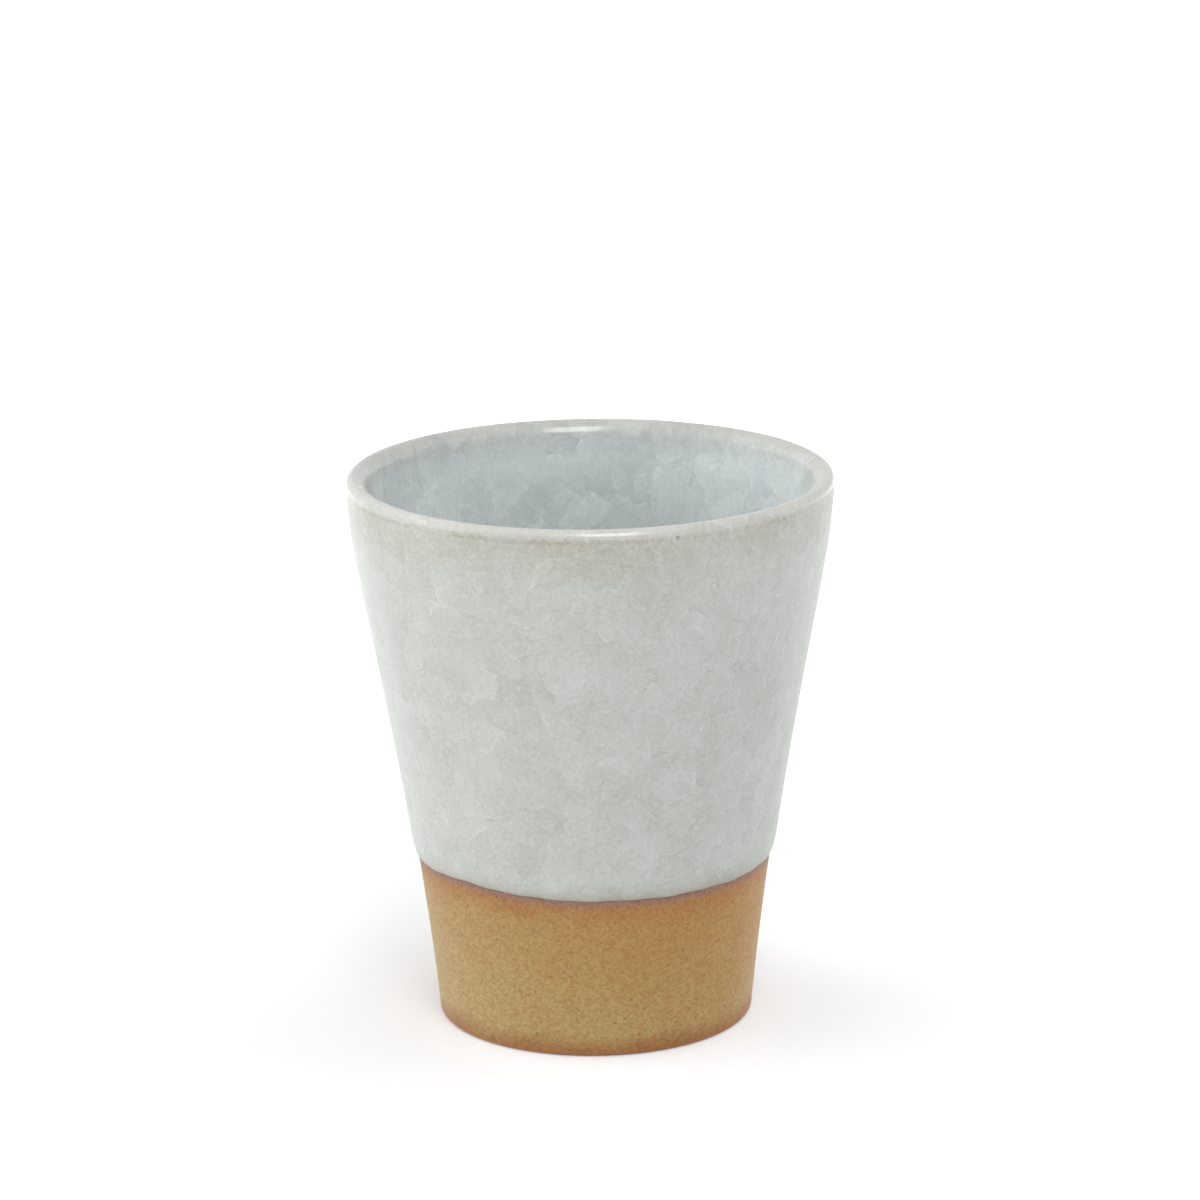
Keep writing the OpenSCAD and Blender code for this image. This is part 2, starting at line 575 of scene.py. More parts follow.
        frayed = add(tree, "TexNoise", {
            "Vector": place, "Scale": 1 / self.fray_mm, "Detail": 4.0, "Roughness": 0.75})
        swayed = add(tree, "Math", {
            0: frayed.outputs[0], 1: self.lip_mm, 2: crest}, operation="MULTIPLY_ADD")
        lip = add(tree, "MapRange", {
            "Value": swayed.outputs[0], "From Min": self.lip_fade[0] * self.lip_mm,
            "From Max": self.lip_fade[1] * self.lip_mm, "To Min": 1.0, "To Max": 0.0},
            interpolation_type="SMOOTHSTEP")
        worn = add(tree, "Mix", {
            0: tone, 6: linear(self.lip_shade), 7: linear(self.lip_light)}, data_type="RGBA")
        return add(tree, "Mix", {
            0: lip.outputs[0], 6: warmed.outputs[2], 7: worn.outputs[2]}, data_type="RGBA").outputs[2]

    def tone(self, tree: Tree, place: Socket) -> Socket:
        """Adds the layers of flakes with their painted shade and highlights, and fine bubbles and broad
        clouds between them.

        Args:
            tree: material's tree.
            place: place on the piece, in millimetres.

        Returns:
            Socket with a tone about 0.5, from 0 for the glaze's shade to 1 for its light.
        """
        bubbles = add(tree, "TexNoise", {
            "Vector": place, "Scale": 1 / self.bubble_mm, "Detail": 4.0, "Roughness": 0.75})
        clouds = add(tree, "TexNoise", {"Vector": place, "Scale": 1 / self.cloud_mm, "Detail": 2.0})
        fine = add(tree, "MapRange", {
            "Value": bubbles.outputs[0], "From Min": MOST_NOISE[0], "From Max": MOST_NOISE[1],
            "To Min": -self.grain, "To Max": self.grain}, clamp=False)
        broad = add(tree, "MapRange", {
            "Value": clouds.outputs[0], "From Min": MOST_NOISE[0], "From Max": MOST_NOISE[1],
            "To Min": 0.5 - self.cloud, "To Max": 0.5 + self.cloud}, clamp=False)
        tone = add(tree, "Math", {0: fine.outputs[0], 1: broad.outputs[0]}).outputs[0]
        bent = self.bend(tree, place)
        for layer in self.flakes:
            tone = add(tree, "Math", {0: tone, 1: layer.draw(tree, bent)}).outputs[0]
        return tone

    def bend(self, tree: Tree, place: Socket) -> Socket:
        """Bends places so that flakes get curved, splintered edges.

        Args:
            tree: material's tree.
            place: place on the piece, in millimetres.

        Returns:
            Socket with the bent place.
        """
        curl = (self.curl_width_mm, self.curl_mm, 2.0)
        splinter = (self.splinter_width_mm, self.splinter_mm, 4.0)
        for width_mm, reach_mm, detail in (curl, splinter):
            sway = add(tree, "TexNoise", {"Vector": place, "Scale": 1 / width_mm, "Detail": detail})
            centred = add(tree, "VectorMath", {
                0: sway.outputs["Color"], 1: MIDDLE}, operation="SUBTRACT")
            place = add(tree, "VectorMath", {
                0: centred.outputs[0], 1: (2 * reach_mm,) * 3, 2: place},
                operation="MULTIPLY_ADD").outputs[0]
        return place

    def iron_share(self, tree: Tree, place: Socket, crest: Socket) -> Socket:
        """Adds the iron that stains the glaze below the lip: a broken line, and a few specks.

        Args:
            tree: material's tree.
            place: place on the piece, in millimetres.
            crest: distance from the crest of the lip, in millimetres.

        Returns:
            Socket with the share of the iron's colour.
        """
        starts = add(tree, "MapRange", {
            "Value": crest, "From Min": self.line_starts_mm[0], "From Max": self.line_starts_mm[1]},
            interpolation_type="SMOOTHSTEP")
        stops = add(tree, "MapRange", {
            "Value": crest, "From Min": self.line_stops_mm[0], "From Max": self.line_stops_mm[1],
            "To Min": 1.0, "To Max": 0.0}, interpolation_type="SMOOTHSTEP")
        haze = add(tree, "MapRange", {
            "Value": crest, "From Min": self.haze_mm[0], "From Max": self.haze_mm[1],
            "To Min": self.haze, "To Max": 0.0}, interpolation_type="SMOOTHSTEP")
        below = add(tree, "Math", {0: stops.outputs[0], 1: haze.outputs[0]}, operation="MAXIMUM")
        line = add(tree, "Math", {0: starts.outputs[0], 1: below.outputs[0]}, operation="MULTIPLY")

        crumbs = add(tree, "TexNoise", {
            "Vector": place, "Scale": 1 / self.crumb_mm, "Detail": 4.0, "Roughness": 0.75})
        crumbly = add(tree, "MapRange", {
            "Value": crumbs.outputs[0], "From Min": self.crumb_span[0], "From Max": self.crumb_span[1],
            "To Min": self.crumb_least, "To Max": 1.0})
        elsewhere = add(tree, "VectorMath", {0: place, 1: (self.stretch_at_mm, 0.0, 0.0)})
        stretches = add(tree, "TexNoise", {
            "Vector": elsewhere.outputs[0], "Scale": 1 / self.stretch_mm, "Detail": 2.0})
        broken = add(tree, "MapRange", {
            "Value": stretches.outputs[0], "From Min": self.stretch_span[0],
            "From Max": self.stretch_span[1], "To Min": self.stretch_least * self.iron_line,
            "To Max": self.iron_line})
        stain = line.outputs[0]
        for part in (crumbly, broken):
            stain = add(tree, "Math", {0: stain, 1: part.outputs[0]}, operation="MULTIPLY").outputs[0]

        near = add(tree, "MapRange", {
            "Value": crest, "From Min": self.speck_near_mm[0], "From Max": self.speck_near_mm[1],
            "To Min": 1.0, "To Max": self.speck_far})
        specks = add(tree, "Math", {
            0: self.specks.draw(tree, place), 1: near.outputs[0]}, operation="MULTIPLY")
        from_pit = add(tree, "VectorMath", {0: place, 1: self.pit_at_mm}, operation="DISTANCE")
        pit = add(tree, "MapRange", {
            "Value": from_pit.outputs["Value"], "From Min": self.pit_mm[0], "From Max": self.pit_mm[1],
            "To Min": self.pit_strength, "To Max": 0.0})
        for part in (specks, pit):
            stain = add(tree, "Math", {0: stain, 1: part.outputs[0]}, operation="MAXIMUM").outputs[0]
        return stain


@dataclass(frozen=True)
class BareStoneware:
    """Buff stoneware, turned and fired bare.

    It is matte and sandy. The kiln flashed it orange beside the glaze, drew a purple line where
    the glaze ends and toasted the foot. It turns more olive downwards, and paler olive to the left,
    where that paleness is painted sheen from the brighter left side.
    """

    title: str = "stoneware_turned_bare"
    buff: str = "#AD8348"
    olive: str = "#AE935D"
    flash: str = "#A7733E"
    line: str = "#8F6E66"
    toast: str = "#9A6431"
    speck: str = "#74522F"
    # Fired clay without a glaze has a roughness of 0.6 to 0.9 and no gloss
    roughness: float = 0.7
    diffuse_roughness: float = 0.9
    # Sand that stands out of the clay catches light at the edges of the cup
    sheen: float = 0.23
    sheen_roughness: float = 0.4
    # Broad mottle; olive downwards, and paler olive to the left as painted sheen, by these shares per mm
    mottle_mm: float = 7.0
    olive_and_painted_sheen_toward: Triple = (-0.016, 0.0, -0.04)
    olive_span: Span = (-0.55, 0.45)
    # Distances below the glaze line and heights over the table, swayed by the mottle
    flash_mm: Span = (3.0, 8.5)
    flash_sway_mm: float = 5.0
    flash_share: float = 0.9
    line_mm: Span = (0.2, 1.8)
    line_share: float = 0.85
    toast_mm: Span = (2.2, 6.2)
    toast_sway_mm: float = 3.0
    toast_share: float = 0.9
    # Sand of 0.1 to 0.3 mm would be too fine to show, so it is drawn coarser
    sand_mm: float = 0.4
    grit_mm: float = 0.35
    grit_depth_mm: float = 0.05
    grit_strength: float = 0.4
    # Factors on the clay's linear colour for its reddest and its palest grains, and the span of the
    # sum of sand and grit that goes from one to the other
    grain_span: Span = (0.3, 1.7)
    red_grain: Colour = (0.86, 0.73, 0.62, 1.0)
    pale_grain: Colour = (1.14, 1.27, 1.38, 1.0)
    # Many small specks, with crumbled outlines
    specks: IronSpecks = IronSpecks(
        cell_mm=1.2, chosen=(0.1, 1.0), size=0.25, blur=(-0.08, 0.16), strength=0.6, blend=Blend.EASED)
    crumble_mm: float = 0.5

    def material(self) -> bpy.types.Material:
        """Builds the finish.

        Returns:
            The new material.
        """
        material = empty_material(self.title)
        tree = material.node_tree
        place = place_mm(tree)
        grit = add(tree, "TexNoise", {
            "Vector": place, "Scale": 1 / self.grit_mm, "Detail": 3.0, "Roughness": 0.65})
        sand = add(tree, "TexVoronoi", {"Vector": place, "Scale": 1 / self.sand_mm})
        grains = add(tree, "SeparateColor", {0: sand.outputs["Color"]})
        mixed = add(tree, "Math", {0: grains.outputs[0], 1: grit.outputs[0]})
        share = add(tree, "MapRange", {
            "Value": mixed.outputs[0], "From Min": self.grain_span[0], "From Max": self.grain_span[1]})
        tint = add(tree, "Mix", {
            0: share.outputs[0], 6: self.red_grain, 7: self.pale_grain}, data_type="RGBA")
        sandy = add(tree, "VectorMath", {
            0: self.fired(tree, place), 1: tint.outputs[2]}, operation="MULTIPLY")
        crumbled = add(tree, "VectorMath", {
            0: grit.outputs["Color"], 1: (self.crumble_mm,) * 3, 2: place}, operation="MULTIPLY_ADD")
        speckled = add(tree, "Mix", {
            0: self.specks.draw(tree, crumbled.outputs[0]), 6: sandy.outputs[0], 7: linear(self.speck)},
            data_type="RGBA")

        bump = add(tree, "Bump", {
            "Strength": self.grit_strength, "Distance": self.grit_depth_mm * MM,
            "Height": mixed.outputs[0]})
        shader = add(tree, "BsdfPrincipled", {
            "Base Color": speckled.outputs[2], "Roughness": self.roughness,
            "Diffuse Roughness": self.diffuse_roughness, "Sheen Weight": self.sheen,
            "Sheen Roughness": self.sheen_roughness, "Normal": bump.outputs[0]})
        add(tree, "OutputMaterial", {"Surface": shader.outputs[0]})
        return material

    def fired(self, tree: Tree, place: Socket) -> Socket:
        """Adds the colours that the kiln gives: a mottled ground, a flash, a line and a toasted foot.

        Args:
            tree: material's tree.
            place: place on the piece, in millimetres.

        Returns:
            Socket with the fired colour.
        """
        mottle = add(tree, "TexNoise", {
            "Vector": place, "Scale": 1 / self.mottle_mm, "Detail": 3.0}).outputs[0]
        # Paler olive to the left is painted sheen; the clay also turns olive towards the bottom
        olive_and_painted_sheen_lean = add(tree, "VectorMath", {0: place, 1: self.olive_and_painted_sheen_toward}, operation="DOT_PRODUCT")
        mottled = add(tree, "Math", {0: olive_and_painted_sheen_lean.outputs["Value"], 1: mottle})
        spread = add(tree, "MapRange", {
            "Value": mottled.outputs[0], "From Min": self.olive_span[0], "From Max": self.olive_span[1]})
        ground = add(tree, "Mix", {
            0: spread.outputs[0], 6: linear(self.buff), 7: linear(self.olive)}, data_type="RGBA")

        below = add(tree, "Attribute", attribute_name=Mark.BELOW_LINE.value).outputs["Fac"]
        height = add(tree, "SeparateXYZ", {0: place}).outputs[2]
        flashed = add(tree, "Math", {
            0: mottle, 1: self.flash_sway_mm, 2: below}, operation="MULTIPLY_ADD").outputs[0]
        toasted = add(tree, "Math", {
            0: mottle, 1: self.toast_sway_mm, 2: height}, operation="MULTIPLY_ADD").outputs[0]
        colour = ground.outputs[2]
        for measure, span, most, code in (
                (flashed, self.flash_mm, self.flash_share, self.flash),
                (below, self.line_mm, self.line_share, self.line),
                (toasted, self.toast_mm, self.toast_share, self.toast)):
            share = add(tree, "MapRange", {
                "Value": measure, "From Min": span[0], "From Max": span[1],
                "To Min": most, "To Max": 0.0}, interpolation_type="SMOOTHSTEP")
            colour = add(tree, "Mix", {
                0: share.outputs[0], 6: colour, 7: linear(code)}, data_type="RGBA").outputs[2]
        return colour


# Dipped outside: satin and pale grey-green, with small flakes whose thin edges carry a painted highlight
DIPPED_GLAZE = CrackleGlaze(
    title="crackle_glaze_dipped",
    shade="#A6A8A1",
    light="#BFC3BE",
    lip_shade="#B3B2AB",
    lip_light="#C9C8C3",
    lip_mm=3.2,
    flakes=(
        FlakeLayer(width_mm=9.0, tone=0.10, painted_tilt_shade=0.24, edge=0.46, edge_mm=0.35, depth_mm=3.1),
        FlakeLayer(width_mm=5.0, tone=0.10, painted_tilt_shade=0.28, edge=0.52, edge_mm=0.30, depth_mm=17.7),
        FlakeLayer(width_mm=2.4, tone=0.10, painted_tilt_shade=0.24, edge=0.40, edge_mm=0.25, depth_mm=41.3),
    ),
    curl_mm=2.2,
    splinter_mm=0.8,
    grain=0.54,
    iron_line=1.0,
    roughness=0.36,
)
# Poured inside: glossy and blue-grey, thicker, so its flakes are broad and soft like ice
POURED_GLAZE = CrackleGlaze(
    title="crackle_glaze_poured",
    shade="#B3BBBB",
    light="#D5DBDB",
    lip_shade="#A5A59E",
    lip_light="#C0C0BC",
    lip_mm=5.6,
    flakes=(
        FlakeLayer(width_mm=12.0, tone=0.13, painted_tilt_shade=0.42, edge=0.24, edge_mm=0.5, depth_mm=35.7),
        FlakeLayer(width_mm=7.0, tone=0.13, painted_tilt_shade=0.42, edge=0.34, edge_mm=0.4, depth_mm=57.3),
        FlakeLayer(width_mm=3.6, tone=0.11, painted_tilt_shade=0.30, edge=0.30, edge_mm=0.3, depth_mm=80.5),
    ),
    curl_mm=3.4,
    splinter_mm=0.8,
    grain=0.38,
    iron_line=0.0,
    roughness=0.14,
    thin_mm=0.2,
)


@dataclass(frozen=True)
class Wave:
    """A wave of the glaze line round the cup."""

    times_round: int
    height_mm: float
    phase: float


@dataclass(frozen=True)
class GlazeLine:
    """Where the dip stopped: level but for one lift, a slow sway and a fine ripple."""

    lift_mm: float = 0.7
    lift_at_deg: float = -135.0
    lift_width_deg: float = 22.0
    droop_mm: float = 0.12
    waves: tuple[Wave, ...] = (
        Wave(times_round=2, height_mm=0.08, phase=0.6),
        Wave(times_round=13, height_mm=0.05, phase=1.1),
        Wave(times_round=29, height_mm=0.05, phase=0.4),
    )

    def rise(self, angles: np.ndarray) -> np.ndarray:
        """Finds the height of the line over its mean level.

        Args:
            angles: angles round the cup, in radians.

        Returns:
            Heights in metres.
        """
        turn = (np.degrees(angles) - self.lift_at_deg + 180) % 360 - 180
        lift = self.lift_mm * np.exp(-(turn / self.lift_width_deg) ** 2) - self.droop_mm
        sway = sum(w.height_mm * np.sin(w.times_round * angles + w.phase) for w in self.waves)
        return (lift + sway) * MM


@dataclass(kw_only=True)
class CupPart:
    """A piece of the cup, with the CAD node that it replaces and its material slot, which is kept but not
    used.
    """

    finish: BareStoneware | CrackleGlaze
    name: str
    node: str
    slot: Slot

    def build(self) -> bpy.types.Object:
        """Builds the piece's mesh."""
        raise NotImplementedError

    def dress(self, piece: bpy.types.Object) -> None:
        """Dresses the piece in its finish and ties it to the frame.

        Args:
            piece: the piece's object.
        """
        piece.data.materials.append(self.finish.material())
        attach(piece, BODY)
        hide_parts(self.node)


@dataclass(kw_only=True)
class ClayBody(CupPart):
    """The stoneware body, bare below the glaze line and under the foot."""

    line: GlazeLine
    dipped_node: str = "outer_glaze"
    bare_step_mm: float = 0.6
    covered_step_mm: float = 4.0
    # How far the bare clay's fine rings run on under the glaze
    overlap_mm: float = 1.0
    # Grit on the wall, from just over the table
    grit_mm: float = 0.02
    grit_width_mm: float = 1.6
    grit_seed: float = 4.2
    grit_from_mm: float = 0.3
    # Tool lines under the foot, and how far they run past the flat of the recess
    tool_line_mm: float = 0.07
    tool_pitch_mm: float = 2.4
    tool_past_mm: float = 1.0
    tool_over_mm: float = 0.1

    def build(self) -> bpy.types.Object:
        """Lofts the body from its section, with grit on the wall and tool lines under the foot.

        Returns:
            The new piece.
        """
        section = half_section(self.node)
        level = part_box(self.dipped_node)[0].z
        covered = int(np.argmax(section[:, 1] > level + self.overlap_mm * MM))
        flat_radius, flat_level = section[0]
        start = np.array([[AXIS_GAP, flat_level]])
        end = np.array([[AXIS_GAP, section[-1, 1]]])
        bare = smooth_run(np.vstack((start, section[:covered + 1])), self.bare_step_mm, first=(1, 0))
        rest = smooth_run(np.vstack((section[covered:], end)), self.covered_step_mm, last=(-1, 0))
        outline = np.vstack((bare, rest[1:]))
        radius, height = outline.T
        rings = spin(outline)

        exposed = np.arange(len(outline)) < len(bare)
        under = exposed & (height < flat_level + self.tool_over_mm * MM)
        under &= radius < flat_radius + self.tool_past_mm * MM
        wall = exposed & (height > self.grit_from_mm * MM) & ~under
        relief = wall[:, None] * self.grit_mm * unevenness(rings, self.grit_width_mm, self.grit_seed)
        tool = np.sin(radius / MM * 2 * math.pi / self.tool_pitch_mm)
        relief += (under * tool * self.tool_line_mm)[:, None]
        moved = outline[:, None, :] + (relief * MM)[..., None] * section_normals(outline)[:, None, :]

        below = level + self.line.rise(ring_angles()) - rings[..., 2]
        marks = {Mark.BELOW_LINE: below / MM}
        return loft(self.name, spin(moved), closed=False, marks=marks)


@dataclass(kw_only=True)
class GlazeCoat(CupPart):
    """A coat of glaze on the clay: its skin, and the bed where it grips the clay."""

    skin_step_mm: float = 0.7
    bed_step_mm: float = 0.1
    # Unevenness of the skin, which fades where the coat gets thinner than fade_mm
    sway_mm: float = 0.045
    sway_width_mm: float = 9.0
    sway_seed: float = 7.3
    fade_mm: float = 0.3
    # How far the bed sinks into the clay, so that no gap shows at the coat's edge
    grip_mm: float = 0.03

    def skin_and_bed(self) -> tuple[np.ndarray, np.ndarray]:
        """Parts the coat's section into its skin and its bed, both in the order of the section."""
        raise NotImplementedError

    def spread(self, section: np.ndarray, bed: np.ndarray) -> np.ndarray:
        """Radius and height of a section's points for every angle, each as it lies on the clay."""
        raise NotImplementedError

    def join(self, skin: np.ndarray, bed: np.ndarray, marks: dict[Mark, np.ndarray]) -> bpy.types.Object:
        """Lofts the rings of the skin and of the bed, with the skin's marks."""
        raise NotImplementedError

    def build(self) -> bpy.types.Object:
        """Builds the coat from its section, uneven in thickness.

        Returns:
            The new piece.
        """
        skin, bed = self.skin_and_bed()
        fine_bed = smooth_run(bed, self.bed_step_mm)
        gap = np.linalg.norm(skin[:, None, :] - fine_bed[None], axis=2).min(axis=1)
        uneven = self.sway_mm * unevenness(spin(skin), self.sway_width_mm, self.sway_seed)
        uneven *= ease(gap / (self.fade_mm * MM))[:, None]
        swollen = self.spread(skin, bed) + (uneven * MM)[..., None] * section_normals(skin)[:, None, :]
        sunk = self.spread(bed + self.grip_mm * MM * section_normals(bed), bed)
        run = np.append(0, np.cumsum(np.linalg.norm(np.diff(skin, axis=0), axis=1)))
        from_crest = np.abs(run - run[np.argmax(skin[:, 1])])
        marks = {
            Mark.COAT: gap[:, None] / MM + uneven,
            Mark.FROM_CREST: np.repeat(from_crest[:, None] / MM, AROUND, axis=1)}
        return self.join(spin(swollen), spin(sunk), marks)


@dataclass(kw_only=True)
class DippedCoat(GlazeCoat):
    """The coat on the outside, a band from its rolled edge at the glaze line to the lip's crest."""

    line: GlazeLine
    # Height over the glaze line at which the coat no longer follows the line's ups and downs
    settle_mm: float = 26.0

    def skin_and_bed(self) -> tuple[np.ndarray, np.ndarray]:
        """Parts the section, which runs from the glaze line up the skin and back down the bed.

        Returns:
            The skin, made smooth, and the bed.
        """
        section = half_section(self.node)
        crest = int(np.argmax(section[:, 1]))
        skin = smooth_run(section[:crest + 1], self.skin_step_mm, last=(-1, 0))
        return skin, section[crest + 1:]

    def spread(self, section: np.ndarray, bed: np.ndarray) -> np.ndarray:
        """Moves the lower part along the wall as the glaze line goes up and down.

        Args:
            section: radius and height of the points to move.
            bed: the coat's bed, whose wall they move along.

        Returns:
            Radius and height of every point of every ring.
        """
        wall = bed[::-1]
        share = 1 - ease((section[:, 1] - wall[0, 1]) / (self.settle_mm * MM))
        height = section[:, 1, None] + share[:, None] * self.line.rise(ring_angles())
        carried = np.interp(height, wall[:, 1], wall[:, 0])
        stood = np.interp(section[:, 1], wall[:, 1], wall[:, 0])
        return np.stack((section[:, 0, None] + carried - stood[:, None], height), axis=-1)

    def join(self, skin: np.ndarray, bed: np.ndarray, marks: dict[Mark, np.ndarray]) -> bpy.types.Object:
        """Lofts the band, skin first."""
        full = {mark: np.vstack((value, np.zeros(bed.shape[:2]))) for mark, value in marks.items()}
        return loft(self.name, np.vstack((skin, bed)), closed=True, marks=full)


@dataclass(kw_only=True)
class PouredCoat(GlazeCoat):
    """The coat on the inside, from the pool on the floor to the crest of the lip."""

    def skin_and_bed(self) -> tuple[np.ndarray, np.ndarray]:
        """Parts the section, which runs from the axis up the bed and back down the skin.

        Returns:
            The skin, made smooth, and the bed.
        """
        section = half_section(self.node)
        crest = int(np.argmax(section[:, 1]))
        bed = np.vstack(([[AXIS_GAP, section[0, 1]]], section[:crest]))
        skin = np.vstack((section[crest:], [[AXIS_GAP, section[-1, 1]]]))
        return smooth_run(skin, self.skin_step_mm, first=(-1, 0), last=(-1, 0)), bed

    def spread(self, section: np.ndarray, bed: np.ndarray) -> np.ndarray:
        """Repeats the section, as a poured coat lies level."""
        return np.repeat(section[:, None, :], AROUND, axis=1)

    def join(self, skin: np.ndarray, bed: np.ndarray, marks: dict[Mark, np.ndarray]) -> bpy.types.Object:
        """Lofts the lining, bed first, closed over the axis."""
        full = {mark: np.vstack((np.zeros(bed.shape[:2]), value)) for mark, value in marks.items()}
        return loft(self.name, np.vstack((bed, skin)), closed=False, marks=full)


@dataclass(frozen=True)
class SoftBox:
    """A studio light with a white front, aimed at the cup."""

    name: str
    azimuth_deg: float
    elevation_deg: float
    away_m: float
    width_m: float
    height_m: float
    watts: float

    def place(self, target: Vector) -> None:
        """Puts the light in the scene.

        Args:
            target: point that it is aimed at.
        """
        azimuth = math.radians(self.azimuth_deg)
        elevation = math.radians(self.elevation_deg)
        level = math.cos(elevation)
        outward = Vector((math.sin(azimuth) * level, -math.cos(azimuth) * level, math.sin(elevation)))
        lamp = bpy.data.lights.new(self.name, "AREA")
        lamp.shape = "RECTANGLE"
        lamp.size = self.width_m
        lamp.size_y = self.height_m
        lamp.energy = self.watts
        light = bpy.data.objects.new(self.name, lamp)
        light.location = target + self.away_m * outward
        light.rotation_euler = outward.to_track_quat("Z", "Y").to_euler()
        light.visible_camera = False
        bpy.context.scene.collection.objects.link(light)


@dataclass(frozen=True)
class TentSide:
    """A bright side of the light tent round the cup, whose middle lies tilt_deg over the level."""

    side: Side
    tilt_deg: float
    glow: float

    def direction(self) -> Triple:
        """Direction of the middle of the bright side."""
        tilt = math.radians(self.tilt_deg)
        return self.side.value * math.cos(tilt), 0.0, math.sin(tilt)


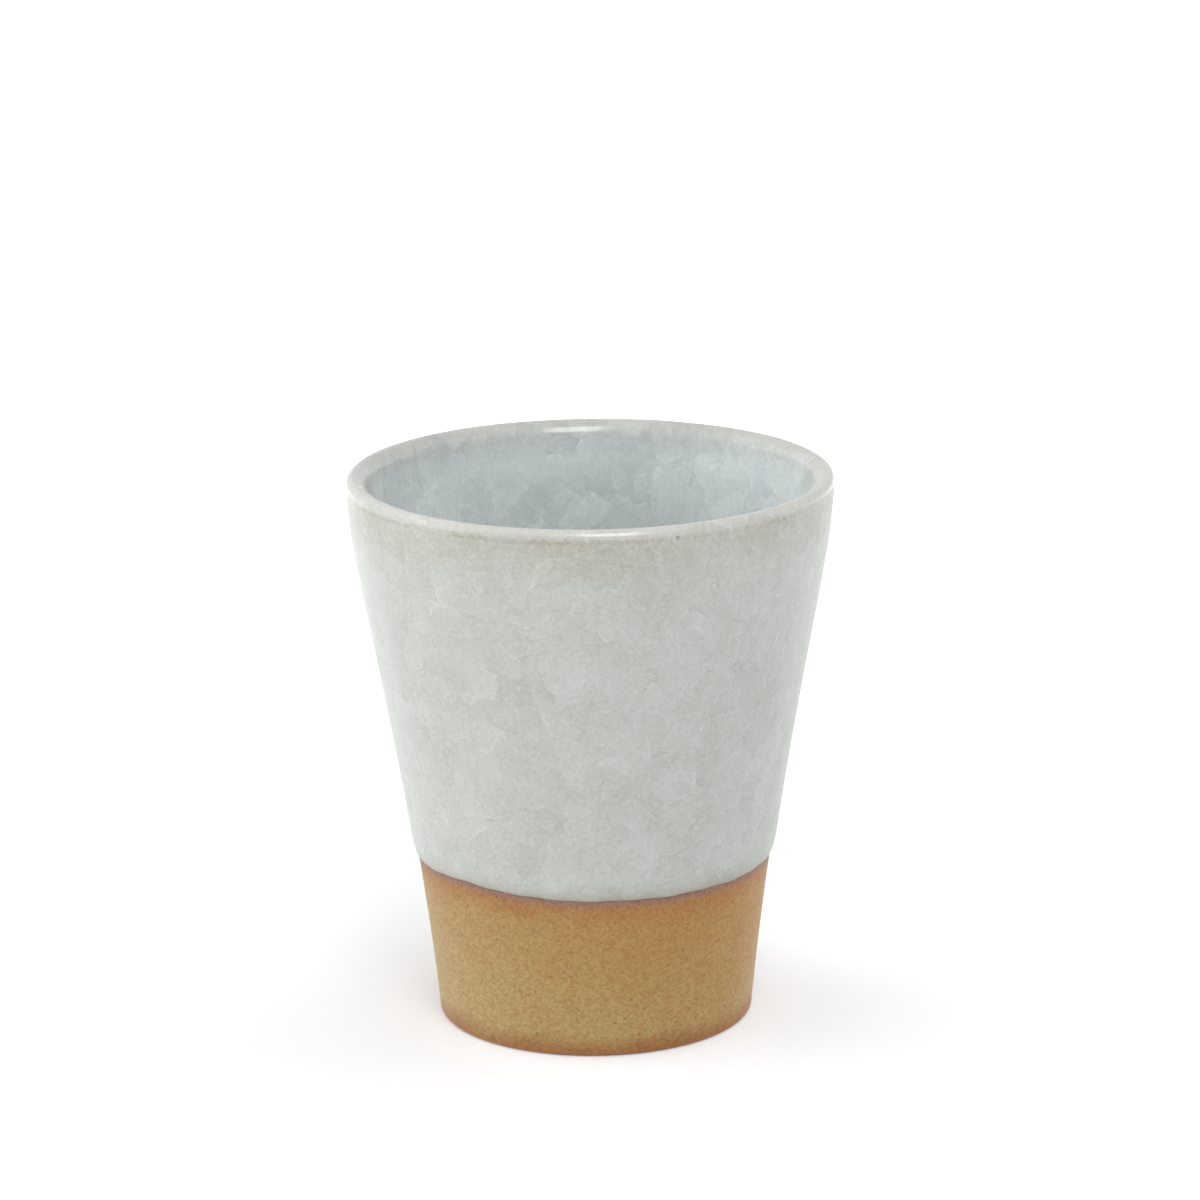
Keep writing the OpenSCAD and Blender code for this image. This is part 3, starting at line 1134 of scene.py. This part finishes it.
@dataclass(frozen=True)
class Studio:
    """White paper floor, a soft box, a light tent and the photograph's camera."""

    front_box: SoftBox = SoftBox(
        "front_box", azimuth_deg=10, elevation_deg=47, away_m=1.08, width_m=0.42, height_m=0.78, watts=4.75)
    sides: tuple[TentSide, ...] = (
        TentSide(side=Side.LEFT, tilt_deg=-20, glow=3.97),
        TentSide(side=Side.RIGHT, tilt_deg=22, glow=1.18),
    )
    paper: str = "#E2E3E5"
    floor_m: float = 6.0
    # Painted glow, seen only by the camera and in reflections, that brings the lit paper up to white: in
    # front of the cup, behind it and far from it, with a little more to the right to lift the cup's shadow
    # there; each span is where the glow goes from one to the other
    near_glow: float = 0.215
    back_glow: float = 0.33
    far_glow: float = 1.12
    side_glow: float = 0.04
    front_to_back_m: Span = (-0.04, 0.06)
    near_to_far_m: Span = (0.04, 0.5)
    left_to_right_m: Span = (-0.1, 0.1)
    # The camera, fitted to the outlines of the cup in the photograph
    focal_px: float = 4962.6
    image_px: float = 1200.0
    sensor_mm: float = 36.0
    clip_mm: float = 10.0
    camera_away_mm: float = 788.81
    camera_height_mm: float = 281.98
    pitch_deg: float = 15.023
    yaw_deg: float = -0.102
    roll_deg: float = -0.664

    def build(self, middle: Vector) -> None:
        """Sets up the floor, the lights, the white surroundings and the camera.

        Args:
            middle: middle of the cup, which the soft box is aimed at.
        """
        self.lay_floor()
        self.light_world()
        self.front_box.place(middle)
        self.stand_camera()
        bpy.context.scene.view_settings.view_transform = "Standard"

    def seen(self, tree: Tree) -> Socket:
        """Adds a test for rays that show the surroundings.

        Args:
            tree: tree of the floor's material or of the world.

        Returns:
            Socket with 1 for camera, glossy and transmission rays, and 0 for others.
        """
        path = add(tree, "LightPath")
        total = path.outputs["Is Camera Ray"]
        for name in ("Is Glossy Ray", "Is Transmission Ray"):
            total = add(tree, "Math", {0: total, 1: path.outputs[name]}, use_clamp=True).outputs[0]
        return total

    def lay_floor(self) -> None:
        """Lays a sheet of white paper under the cup."""
        half = self.floor_m / 2
        corners = [(-half, -half, 0), (half, -half, 0), (half, half, 0), (-half, half, 0)]
        mesh = bpy.data.meshes.new("paper_floor")
        mesh.from_pydata(corners, [], [(0, 1, 2, 3)])
        floor = bpy.data.objects.new("paper_floor", mesh)
        bpy.context.scene.collection.objects.link(floor)
        mesh.materials.append(self.white_paper())

    def white_paper(self) -> bpy.types.Material:
        """Builds matte white paper with a painted glow, which only the camera and reflections see: it lifts
        the paper and the cup's soft shadow, more behind the cup, far off and to the right. It has no gloss.

        Returns:
            The new material.
        """
        material = empty_material("white_paper")
        tree = material.node_tree
        held = add(tree, "TexCoord").outputs["Object"]
        parts = add(tree, "SeparateXYZ", {0: held})
        behind = add(tree, "MapRange", {
            "Value": parts.outputs[1], "From Min": self.front_to_back_m[0],
            "From Max": self.front_to_back_m[1], "To Min": self.near_glow, "To Max": self.back_glow},
            interpolation_type="SMOOTHSTEP")
        away = add(tree, "VectorMath", {0: held}, operation="LENGTH")
        outward = add(tree, "MapRange", {
            "Value": away.outputs["Value"], "From Min": self.near_to_far_m[0],
            "From Max": self.near_to_far_m[1], "To Min": behind.outputs[0], "To Max": self.far_glow})
        # Painted glow, a little more to the right, that lifts the cup's shadow there
        across = add(tree, "MapRange", {
            "Value": parts.outputs[0], "From Min": self.left_to_right_m[0],
            "From Max": self.left_to_right_m[1], "To Min": -self.side_glow, "To Max": self.side_glow})
        evened = add(tree, "Math", {0: outward.outputs[0], 1: across.outputs[0]})
        glow = add(tree, "Math", {0: self.seen(tree), 1: evened.outputs[0]}, operation="MULTIPLY")
        sheet = add(tree, "BsdfDiffuse", {"Color": linear(self.paper)})
        glowing = add(tree, "Emission", {"Color": WHITE, "Strength": glow.outputs[0]})
        both = add(tree, "AddShader", {0: sheet.outputs[0], 1: glowing.outputs[0]})
        add(tree, "OutputMaterial", {"Surface": both.outputs[0]})
        return material

    def light_world(self) -> None:
        """Makes the surroundings white to the eye, and a light tent with bright sides for the rest."""
        world = bpy.data.worlds.new("white_tent")
        world.use_nodes = True
        tree = world.node_tree
        tree.nodes.clear()
        heading = add(tree, "TexCoord").outputs["Generated"]
        tent = 0.0
        for side in self.sides:
            facing = add(tree, "VectorMath", {
                0: heading, 1: side.direction()}, operation="DOT_PRODUCT").outputs["Value"]
            lit = add(tree, "MapRange", {
                "Value": facing, "To Max": side.glow}, interpolation_type="SMOOTHSTEP").outputs[0]
            tent = add(tree, "Math", {0: tent, 1: lit}).outputs[0]
        strength = add(tree, "MapRange", {"Value": self.seen(tree), "To Min": tent, "To Max": 1.0})
        sky = add(tree, "Background", {"Color": WHITE, "Strength": strength.outputs[0]})
        add(tree, "OutputWorld", {"Surface": sky.outputs[0]})
        bpy.context.scene.world = world

    def stand_camera(self) -> None:
        """Stands the camera where the photograph was taken from."""
        pitch, yaw, roll = (math.radians(a) for a in (self.pitch_deg, self.yaw_deg, self.roll_deg))
        back = Vector((math.sin(yaw) * math.cos(pitch), -math.cos(yaw) * math.cos(pitch), math.sin(pitch)))
        right = Vector((math.cos(yaw), math.sin(yaw), 0))
        up = back.cross(right)
        across = math.cos(roll) * right + math.sin(roll) * up
        over = math.cos(roll) * up - math.sin(roll) * right
        lens = bpy.data.cameras.new("photo_camera")
        lens.sensor_width = self.sensor_mm
        lens.lens = self.focal_px / self.image_px * self.sensor_mm
        lens.clip_start = self.clip_mm * MM
        camera = bpy.data.objects.new("photo_camera", lens)
        turned = Matrix((across, over, back)).transposed().to_4x4()
        stand = Matrix.Translation((0, -self.camera_away_mm * MM, self.camera_height_mm * MM))
        camera.matrix_world = stand @ turned
        bpy.context.scene.collection.objects.link(camera)
        bpy.context.scene.camera = camera


def main() -> None:
    """Builds the cup and its studio."""
    logging.basicConfig(level=logging.INFO, format="%(name)s: %(message)s")
    line = GlazeLine()
    parts = (
        ClayBody(
            finish=BareStoneware(), name="stoneware_body", node="clay_body", slot=Slot.BARE_CLAY,
            line=line),
        DippedCoat(
            finish=DIPPED_GLAZE, name="dipped_glaze", node="outer_glaze", slot=Slot.OUTSIDE_GLAZE,
            line=line),
        PouredCoat(
            finish=POURED_GLAZE, name="poured_glaze", node="inner_glaze", slot=Slot.INSIDE_GLAZE),
    )
    for part in parts:
        piece = part.build()
        part.dress(piece)
        LOG.info("%s: %d faces in place of %s", piece.name, len(piece.data.polygons), part.node)
    Studio().build((CAD_BOX[0] + CAD_BOX[1]) / 2)


if __name__ == "__main__":
    main()
